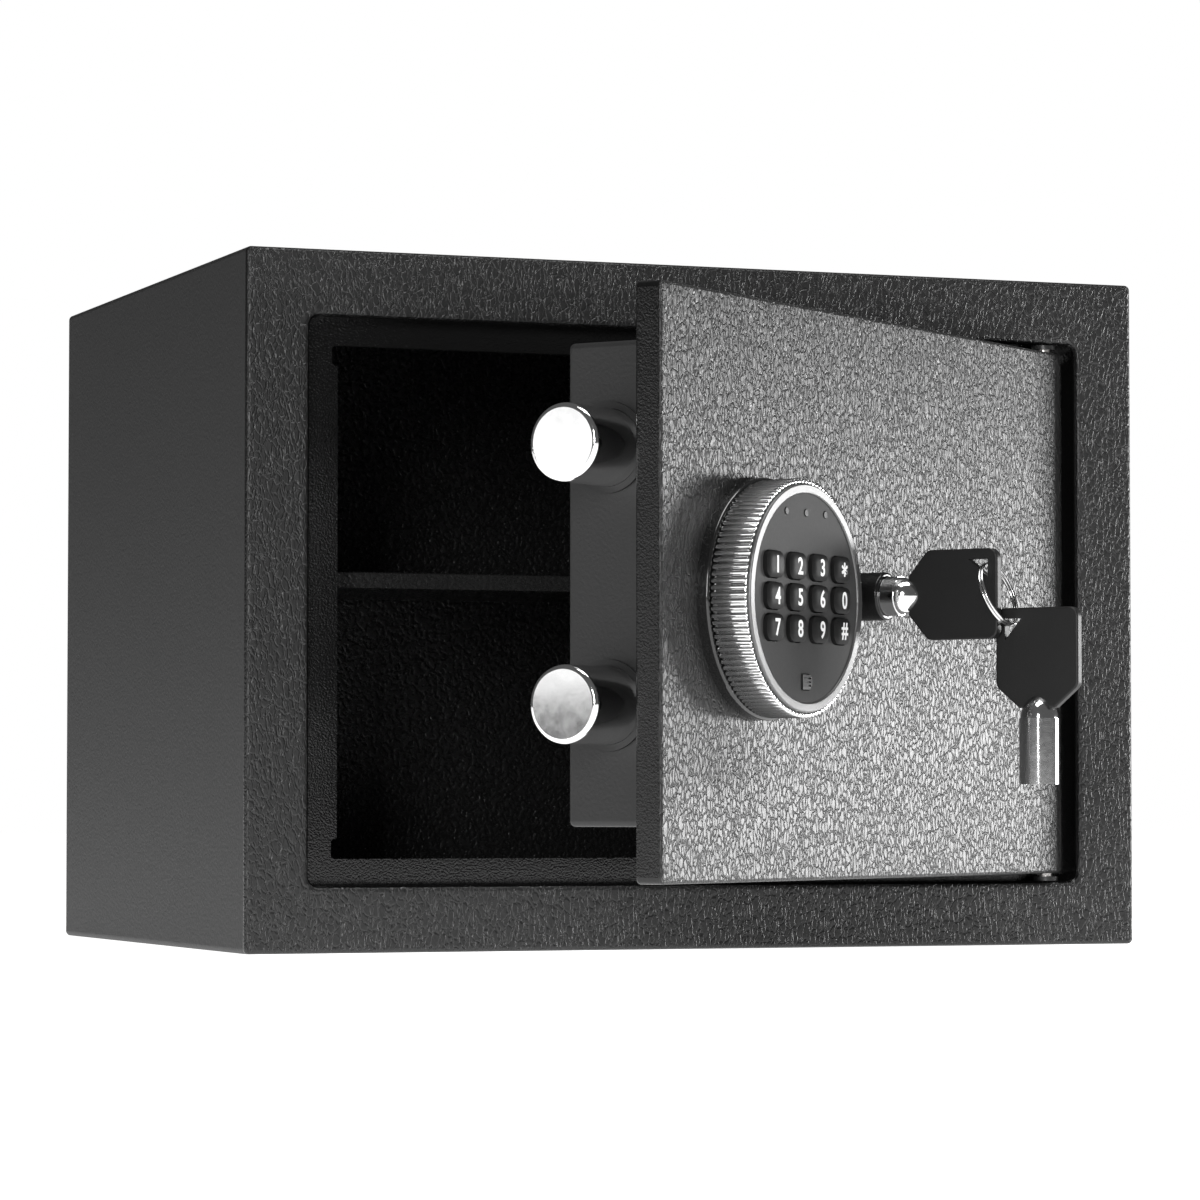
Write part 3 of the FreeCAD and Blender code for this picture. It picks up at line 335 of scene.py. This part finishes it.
nap_height = 0.0002
hole_radius = 0.006
punch_length = 0.02
anchors = {mount["name"]: mount for mount in frame["record"]["mounts"]}["floor_anchors"]
floor_hole_spacing = anchors["dims"]["spacing_x_mm"] / 1000
fresh()
bpy.ops.mesh.primitive_grid_add(x_subdivisions=60, y_subdivisions=42, size=1.0,
                                location=(mat_middle.x, mat_middle.y, mat_high.z - nap_height))
mat = bpy.context.object
mat.scale = (mat_width, mat_depth, 1.0)
bpy.ops.object.transform_apply(location=True, rotation=True, scale=True)
apply_modifier(mat, "SOLIDIFY", thickness=mat_high.z - mat_low.z - nap_height, offset=-1.0)
for side in (-1, 1):
    fresh()
    bpy.ops.mesh.primitive_cylinder_add(vertices=40, radius=hole_radius, depth=punch_length,
                                        location=(side * floor_hole_spacing / 2, 0, mat_middle.z))
    punch = bpy.context.object
    fresh()
    apply_modifier(mat, "BOOLEAN", object=punch, operation="DIFFERENCE", solver="EXACT")
    bpy.data.objects.remove(punch, do_unlink=True)
felt_coat = Coat("black_felt", grey(0.018), 0.92, Sheen_Weight=0.35, Sheen_Roughness=0.5)
nap = felt_coat.noise(1700, 5.0)
fibre = felt_coat.node("ShaderNodeTexNoise", None, {
    "Vector": felt_coat.node("ShaderNodeMapping", None, {
        "Vector": felt_coat.place, "Scale": (900, 2600, 900)}),
    "Scale": 1.0, "Detail": 3.0, "Distortion": 1.5})
felt_coat.wear(Base_Color=felt_coat.blend(fibre, grey(0.010), grey(0.034)))
felt_coat.relief(nap * 0.6 + fibre * 0.4, 0.0005)
settle(mat, "mat_felt", felt_coat, "safe_body")
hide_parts("floor_mat")


# The shelf: sheet steel with its front edge folded down, resting loose on four small steel angles
# that are spot-welded to the sides. All of it has the black gloss coat of the inside, with specks.
inside_coat = Coat("black_gloss_coat", grey(0.012), 0.22, Coat_Weight=0.3)
inside_speck = inside_coat.noise(700, 3.0)
inside_coat.wear(Roughness=0.14 + inside_speck * 0.26)
inside_coat.wear(Base_Color=inside_coat.blend(inside_coat.noise(25, 3.0), grey(0.008), grey(0.016)))
inside_coat.relief(inside_speck, 0.0003)
for name in ("shelf", "shelf_supports"):
    finish_node(name, inside_coat)


# The door pan: a shallow steel pressing with rolled edges, hung 37 degrees open. Its front has the
# frame's wrinkle coat and its edges are smoother. A flat plate closes the back, spot-welded in.
joints = {joint["name"]: joint for joint in frame["joints"]}
inward = Vector(joints["knob_turn"]["axis"])
sideways = Vector(joints["bolt_throw"]["axis"])


def reach(node, way):
    """How far a CAD node reaches along a direction: its least and greatest."""
    along = [corner.co.dot(way) for corner in frame["nodes"][node].data.vertices]
    return min(along), max(along)


door_front = reach("door_pan", inward)[0]


def behind_door_front(coat):
    along = coat.node("ShaderNodeVectorMath", {"operation": "DOT_PRODUCT"}, {
        0: coat.place, 1: inward}, "Value")
    return along - door_front


door_coat = front_paint("wrinkle_coat_door", 0.015, behind_door_front, 0.0006)
finish_node("door_pan", door_coat)
plate_coat = Coat("door_back_coat", grey(0.018), 0.42)
plate_peel = plate_coat.noise(900, 3.0)
plate_coat.wear(Roughness=0.36 + plate_peel * 0.16)
plate_coat.wear(Base_Color=plate_coat.blend(plate_coat.noise(18, 3.0), grey(0.016), grey(0.022)))
plate_coat.relief(plate_peel, 0.0001)
for name in ("door_back_plate", "lock_box"):
    finish_node(name, plate_coat)


# The steel works behind the door: hinge pins, posts, nuts, bracket, crank, carriage, solenoid and cam,
# all zinc plated, pressed or turned, and screwed or welded in place.
def metal(name, tone, roughness, spread, grain_scale, depth=0.00002, warm=0.0):
    coat = Coat(name, grey(tone, warm), roughness, 1.0)
    grain = coat.noise(grain_scale, 3.0)
    coat.wear(Roughness=roughness + (grain - 0.5) * spread)
    coat.wear(Base_Color=coat.blend(
        coat.noise(60, 3.0), grey(tone * 0.9, warm), grey(min(1.0, tone * 1.06), warm)))
    coat.relief(grain, depth)
    return coat


zinc_coat = metal("zinc_plate", 0.56, 0.34, 0.24, 420, warm=0.03)
for name in ("hinge_pins", "mounting_posts", "hex_nuts", "post_bracket", "crank_disc", "bolt_carriage",
             "knob_sleeve", "keypad_post", "solenoid", "lock_cam", "cam_screw"):
    finish_node(name, zinc_coat)
screw_coat = metal("screw_steel", 0.42, 0.30, 0.2, 900)
for name in ("box_screws", "bolt_screws"):
    finish_node(name, screw_coat)


# The bolts: two 26 mm steel bars, turned with a rounded rim and chrome plated, sliding in
# flanged black bushes in the lock box's side.
chrome_coat = metal("bolt_chrome", 0.86, 0.09, 0.08, 300, 0.000004)
finish_node("lock_bolts", chrome_coat)
bush_coat = Coat("black_moulding", grey(0.014), 0.4)
bush_coat.wear(Roughness=0.34 + bush_coat.noise(700) * 0.14)
bush_coat.relief(bush_coat.noise(1500), 0.00003)
for name in ("bolt_bushes", "knob_bush"):
    finish_node(name, bush_coat)


# The knob's fixed base: a gloss black moulded ring with a rounded rim, fixed to the door's face behind
# the knob. It is the door's, and the knob turns in front of it.
base_coat = Coat("black_gloss_moulding", grey(0.008), 0.14, Coat_Weight=0.5)
base_coat.wear(Roughness=0.10 + base_coat.noise(400, 3.0) * 0.12)
base_coat.relief(base_coat.noise(1200), 0.00001)
finish_node("knob_base", base_coat)


# The knob ring: zinc, cast, turned and chromed, with a flat web at its back and about a hundred
# rounded ribs round its rim. It turns on its sleeve, with the keypad still in its middle.
knob_low, knob_high = reach("knob_ring", inward)
knob_middle_s = sum(reach("knob_ring", sideways)) / 2
knob_middle_z = sum(reach("knob_ring", Vector((0, 0, 1)))) / 2
knob_radius = (reach("knob_ring", sideways)[1] - reach("knob_ring", sideways)[0]) / 2
# the knob is modelled with x across the door, y into it and z up, from the middle of the door's face
knob_origin = sideways * knob_middle_s + inward * door_front + Vector((0, 0, knob_middle_z))
door_seat = Matrix((
    (sideways.x, inward.x, 0, knob_origin.x),
    (sideways.y, inward.y, 0, knob_origin.y),
    (0, 0, 1, knob_origin.z),
    (0, 0, 0, 1)))
rim_front = knob_low - door_front
rim_back = knob_high - door_front
rib_count = 106
rib_radius = 0.00098
rib_middle_radius = knob_radius - rib_radius
web_thickness = 0.0026
bore_radius = 0.0386
sleeve_radius = 0.009
rib_end_bevel = 0.0004
rim_radius = rib_middle_radius + 0.0002
front_step = 0.0001
bore_ease = 0.0002
front_ease_across, front_ease_along = 0.0003, 0.0004
back_ease_across, back_ease_along = 0.0005, 0.0006
merge_distance = 0.000002


def turned(name, outline, steps):
    """A lathe-turned piece: an outline of (radius, y) points, closed, spun about the y axis."""
    fresh()
    bpy.ops.mesh.primitive_circle_add(vertices=len(outline), radius=0.01)
    piece = bpy.context.object
    for corner, (radius, y) in zip(piece.data.vertices, outline):
        corner.co = (radius, y, 0)
    choose(piece, lambda place, normal: True, "CORNER")
    bpy.ops.mesh.spin(steps=steps, angle=2 * math.pi, center=(0, 0, 0), axis=(0, 1, 0))
    bpy.ops.mesh.select_all(action="SELECT")
    bpy.ops.mesh.remove_doubles(threshold=merge_distance)
    bpy.ops.mesh.normals_make_consistent(inside=False)
    done()
    piece.name = name
    return piece


def join(piece, others):
    fresh()
    for other in others:
        other.select_set(True)
    piece.select_set(True)
    bpy.context.view_layer.objects.active = piece
    bpy.ops.object.join()


def soften(piece, degrees=35):
    fresh()
    piece.select_set(True)
    bpy.context.view_layer.objects.active = piece
    bpy.ops.object.shade_smooth_by_angle(angle=math.radians(degrees))


rim_face = rim_front + front_step
ring = turned("ring", [
    (bore_radius, rim_face + bore_ease), (bore_radius + bore_ease, rim_face),
    (rim_radius - front_ease_across, rim_face), (rim_radius, rim_face + front_ease_along),
    (rim_radius, rim_back - back_ease_along), (rim_radius - back_ease_across, rim_back),
    (sleeve_radius, rim_back), (sleeve_radius, rim_back - web_thickness),
    (bore_radius, rim_back - web_thickness)], 212)
fresh()
rib_length = rim_back - rim_front
bpy.ops.mesh.primitive_cylinder_add(vertices=12, radius=rib_radius, depth=rib_length,
                                    location=(rib_middle_radius, (rim_front + rim_back) / 2, 0),
                                    rotation=(math.pi / 2, 0, 0))
ribs = bpy.context.object
bpy.ops.object.transform_apply(location=True, rotation=True, scale=True)
choose(ribs, lambda middle, along: abs(along.y) < 1e-7, "EDGE")
bpy.ops.mesh.bevel(offset=rib_end_bevel, segments=2)
bpy.ops.mesh.select_all(action="SELECT")
bpy.ops.mesh.spin(steps=rib_count, dupli=True, angle=2 * math.pi, center=(0, 0, 0), axis=(0, 1, 0))
bpy.ops.mesh.select_all(action="SELECT")
bpy.ops.mesh.remove_doubles(threshold=merge_distance)
done()
join(ring, [ribs])
soften(ring, 40)
knob_coat = metal("knob_chrome", 0.80, 0.12, 0.08, 500, 0.000004)
settle(ring, "knob_fluted_ring", knob_coat, "knob", door_seat)
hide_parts("knob_ring")


# The bezel and the keypad's face: a satin turned ring pressed over the keypad's rim, and a flat
# dark moulded face with a window for each key. The housing behind is black.
bezel_coat = metal("satin_bezel", 0.17, 0.45, 0.08, 1500)
finish_node("bezel_ring", bezel_coat)
face_coat = Coat("keypad_face_plastic", grey(0.045), 0.6, Specular_IOR_Level=0.2)
face_coat.wear(Base_Color=face_coat.blend(face_coat.noise(900, 4.0), grey(0.038), grey(0.050)))
face_coat.wear(Roughness=0.56 + face_coat.noise(1500) * 0.12)
face_coat.relief(face_coat.noise(2600, 2.0), 0.00003)
finish_node("keypad_face", face_coat)
housing_coat = Coat("housing_plastic", grey(0.012), 0.4)
housing_coat.wear(Roughness=0.36 + housing_coat.noise(1500) * 0.12)
housing_coat.relief(housing_coat.noise(2200), 0.00003)
for name in ("keypad_housing", "battery_tray"):
    finish_node(name, housing_coat)
lens_coat = Coat("smoked_lens", grey(0.004), 0.4, Specular_IOR_Level=0.2)
lens_coat.wear(Roughness=0.36 + lens_coat.noise(900) * 0.1)
finish_node("lamp_lenses", lens_coat)
port_coat = Coat("port_plastic", grey(0.02), 0.34)
port_coat.wear(Roughness=0.3 + port_coat.noise(1500) * 0.12)
finish_node("port_cover", port_coat)


# The twelve keys: black rubber caps with rounded corners and a soft dome, each with its white
# printed character. Each one presses in by itself through its window in the face.
key_labels = {"key_1": "1", "key_2": "2", "key_3": "3", "key_star": "*", "key_4": "4", "key_5": "5",
              "key_6": "6", "key_0": "0", "key_7": "7", "key_8": "8", "key_9": "9", "key_hash": "#"}
key_coat = Coat("key_rubber", grey(0.006), 0.5, Specular_IOR_Level=0.22)
key_coat.wear(Roughness=0.48 + key_coat.noise(1200) * 0.12)
key_coat.relief(key_coat.noise(2600), 0.00002)
ink_coat = Coat("white_ink", grey(0.80), 0.5)
ink_coat.wear(Base_Color=ink_coat.blend(ink_coat.noise(3000), grey(0.74), grey(0.86)))
upright = Vector((0, 0, 1))
digit_height = 0.0058
digit_spread = 0.9
digit_weight = 0.00016
ink_height = 0.00006
font_per_digit = 1.35
star_share = 0.85
cap_dome = 0.0009
corner_radius = 0.0031
dome_step = 0.0005
dome_rises = (0.40, 0.26, 0.18, 0.11, 0.05)
skirt = 0.00045
for node, label in key_labels.items():
    s_low, s_high = reach(node, sideways)
    z_low, z_high = reach(node, upright)
    cap_front, cap_back = reach(node, inward)
    key_seat = door_seat @ Matrix.Translation((
        (s_low + s_high) / 2 - knob_middle_s, cap_front - door_front, (z_low + z_high) / 2 - knob_middle_z))
    wide = s_high - s_low - 2 * skirt
    tall = z_high - z_low - 2 * skirt
    deep = cap_back - cap_front
    fresh()
    bpy.ops.mesh.primitive_cube_add(size=1.0, location=(0, (cap_dome + deep) / 2, 0))
    cap = bpy.context.object
    cap.scale = (wide, deep - cap_dome, tall)
    bpy.ops.object.transform_apply(location=True, rotation=True, scale=True)
    choose(cap, lambda middle, along: abs(along.y) > 1e-6, "EDGE")
    bpy.ops.mesh.bevel(offset=corner_radius, segments=6)
    # the front steps in and forward again and again, each step lower than the last, up to the crown
    choose(cap, lambda middle, normal: normal.y < -0.9)
    for rise in dome_rises:
        bpy.ops.mesh.inset(thickness=dome_step, use_boundary=True)
        bpy.ops.transform.translate(value=(0, -rise * cap_dome, 0))
    done()
    soften(cap, 50)
    settle(cap, node + "_cap", key_coat, node, key_seat)
    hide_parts(node)

    fresh()
    bpy.ops.object.text_add(location=(0, 0, 0))
    digit = bpy.context.object
    digit.data.body = label
    digit.data.align_x = "CENTER"
    digit.data.size = digit_height * font_per_digit
    digit.data.offset = digit_weight
    digit.data.extrude = ink_height
    digit.data.resolution_u = 5
    bpy.ops.object.convert(target="MESH")
    digit = bpy.context.object
    corners = [corner.co for corner in digit.data.vertices]
    middle_x = (min(c.x for c in corners) + max(c.x for c in corners)) / 2
    middle_y = (min(c.y for c in corners) + max(c.y for c in corners)) / 2
    size = 1.0
    if label == "*":
        size = star_share * digit_height / (max(c.y for c in corners) - min(c.y for c in corners))
    bpy.ops.object.transform_apply(location=True, rotation=True, scale=True)
    centred = Matrix.Translation((-middle_x, -middle_y, 0))
    sized = Matrix.Diagonal((digit_spread * size, size, 1, 1))
    digit.data.transform(Matrix.Rotation(math.pi / 2, 4, "X") @ sized @ centred)
    settle(digit, node + "_digit", ink_coat, node, key_seat)


# Inside the lock box: the keypad's round board and the main board, green laminate with solder mask,
# copper tracks and parts; four wrapped cells in a tray; and the cable between the boards.
def board_finish(name, base, track):
    coat = Coat(name, base, 0.35)
    cells = coat.node("ShaderNodeTexVoronoi", {"feature": "F1", "distance": "MANHATTAN"}, {
        "Vector": coat.place, "Scale": 260.0})
    lines = coat.smooth(cells, 0.30, 0.34) * coat.smooth(cells, 0.46, 0.42)
    coat.wear(Base_Color=coat.blend(lines, base, track))
    coat.wear(Roughness=0.32 + coat.noise(800) * 0.12)
    coat.relief(lines, 0.00005)
    return coat


board_coat = board_finish("board_laminate", (0.010, 0.075, 0.030, 1), (0.03, 0.16, 0.07, 1))
for name in ("keypad_board", "circuit_board"):
    finish_node(name, board_coat)
wrap_coat = Coat("cell_wrap", (0.02, 0.02, 0.022, 1), 0.3)
band_s = reach("battery_cells", sideways)
wrap_along = wrap_coat.node("ShaderNodeVectorMath", {"operation": "DOT_PRODUCT"}, {
    0: wrap_coat.place, 1: sideways}, "Value") - band_s[0]
band_start, band_blur = 0.0380, 0.0004
band = wrap_coat.smooth(wrap_along, band_start, band_start + band_blur)
wrap_coat.wear(Base_Color=wrap_coat.blend(band, (0.015, 0.015, 0.017, 1), (0.50, 0.20, 0.05, 1)))
wrap_coat.wear(Roughness=0.24 + wrap_coat.noise(500) * 0.14)
finish_node("battery_cells", wrap_coat)
plunger_coat = metal("plunger_steel", 0.60, 0.22, 0.12, 700)
finish_node("solenoid_plunger", plunger_coat)


# The keypad's cable: a thin limp sheathed lead, fast at both ends, through the hollow post and
# across the lock box to the main board.
cable_coat = Coat("cable_sheath", grey(0.03), 0.45)
cable_coat.wear(Roughness=0.4 + cable_coat.noise(900) * 0.14)
cable_coat.relief(cable_coat.noise(1800), 0.00003)
cable_diameter = 0.0024
# places along the route, across the door and into it from the middle of the knob's place on its face
post_s, socket_s = 0.0, 0.0902
pad_board_q, board_q, run_q = -0.012, 0.019, 0.033
bend_s, middle_s = 0.014, 0.045
route = [(post_s, pad_board_q), (post_s, 0.005), (post_s, board_q), (post_s, run_q), (bend_s, run_q),
         (middle_s, run_q), (socket_s - bend_s, run_q), (socket_s, run_q), (socket_s, board_q)]
cable_data = bpy.data.curves.new("keypad_lead", "CURVE")
cable_data.dimensions = "3D"
cable_data.bevel_depth = cable_diameter / 2
cable_data.bevel_resolution = 3
cable_data.resolution_u = 12
cable_data.use_fill_caps = True
lead = cable_data.splines.new("NURBS")
lead.points.add(len(route) - 1)
for point, (s, q) in zip(lead.points, route):
    point.co = (*(door_seat @ Vector((s, q, 0))), 1.0)
lead.order_u = 3
lead.use_endpoint_u = True
cable = bpy.data.objects.new("keypad_lead", cable_data)
bpy.context.collection.objects.link(cable)
cable_data.materials.append(cable_coat.material)
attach(cable, "door")
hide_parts("keypad_cable")


# The reset button: a small red-capped plastic pin through the lock box's back. The battery cover
# is black plastic, flush with the box, and clips in by two tongues.
reset_coat = Coat("reset_plastic", (0.35, 0.02, 0.015, 1), 0.35)
reset_coat.wear(Base_Color=reset_coat.blend(
    reset_coat.noise(500), (0.30, 0.018, 0.012, 1), (0.40, 0.025, 0.02, 1)))
reset_coat.wear(Roughness=0.3 + reset_coat.noise(1200) * 0.12)
finish_node("reset_button", reset_coat)
cover_coat = Coat("cover_plastic", grey(0.016), 0.45)
cover_coat.wear(Roughness=0.42 + cover_coat.noise(1500) * 0.12)
cover_coat.relief(cover_coat.noise(1800, 3.0), 0.00006)
finish_node("battery_cover", cover_coat)


# The override lock: a black turned collar and body, fixed through the door, with a steel plug inside
# that the tubular key turns.
collar_coat = Coat("collar_black", grey(0.012), 0.20, 0.4)
collar_coat.wear(Roughness=0.16 + collar_coat.noise(600, 3.0) * 0.12)
collar_coat.relief(collar_coat.noise(1600), 0.00001)
finish_node("lock_body", collar_coat)
plug_coat = metal("plug_steel", 0.66, 0.2, 0.1, 800)
finish_node("lock_plug", plug_coat)


# The two keys: each has a tubular steel stem, turned and chromed, with a flat black bow moulded on it.
# One is in the lock, and the spare hangs from the ring.
key_steel_coat = metal("key_chrome", 0.84, 0.10, 0.06, 500, 0.000004)
for name in ("override_key_stem", "spare_key_stem"):
    finish_node(name, key_steel_coat)
bow_coat = Coat("bow_plastic", grey(0.008), 0.46, Specular_IOR_Level=0.35)
bow_coat.wear(Base_Color=bow_coat.blend(bow_coat.noise(60, 3.0), grey(0.0065), grey(0.0095)))
bow_coat.wear(Roughness=0.40 + bow_coat.noise(1500, 3.0) * 0.14)
bow_coat.relief(bow_coat.noise(2400, 3.0), 0.00004)
for name in ("override_key_bow", "spare_key_bow"):
    finish_node(name, bow_coat)


# The split ring: nickel-plated spring wire, coiled into two close turns. It passes through the holes of
# both keys' bows.
first_hole = Vector(joints["ring_swing"]["pos_m"])
second_hole = Vector(joints["spare_key_swing"]["pos_m"])
between = (second_hole - first_hole).normalized()
ring_side = (sideways - between * sideways.dot(between)).normalized()
ring_axis = between.cross(ring_side)
ring_middle = (first_hole + second_hole) / 2
ring_radius = (second_hole - first_hole).length / 2
wire_radius = 0.0005
wire_pitch = 0.00104
fresh()
bpy.ops.mesh.primitive_circle_add(vertices=12, radius=wire_radius, location=(ring_radius, 0, -wire_pitch),
                                  rotation=(math.pi / 2, 0, 0))
split_ring = bpy.context.object
bpy.ops.object.transform_apply(location=True, rotation=True, scale=True)
apply_modifier(split_ring, "SCREW", axis="Z", angle=2 * math.pi, iterations=2, screw_offset=wire_pitch,
               steps=56, render_steps=56, use_merge_vertices=True, use_normal_calculate=True)
choose(split_ring, lambda place, normal: True, "CORNER")
bpy.ops.mesh.fill_holes(sides=12)
bpy.ops.mesh.select_all(action="SELECT")
bpy.ops.mesh.normals_make_consistent(inside=False)
done()
soften(split_ring, 50)
ring_coat = metal("ring_nickel", 0.74, 0.16, 0.1, 900)
ring_seat = Matrix((
    (between.x, ring_side.x, ring_axis.x, ring_middle.x),
    (between.y, ring_side.y, ring_axis.y, ring_middle.y),
    (between.z, ring_side.z, ring_axis.z, ring_middle.z),
    (0, 0, 0, 1)))
if ring_seat.determinant() < 0:
    ring_seat = ring_seat @ Matrix.Diagonal((1, -1, 1, 1))
settle(split_ring, "split_ring", ring_coat, "key_ring", ring_seat)
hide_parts("key_ring")
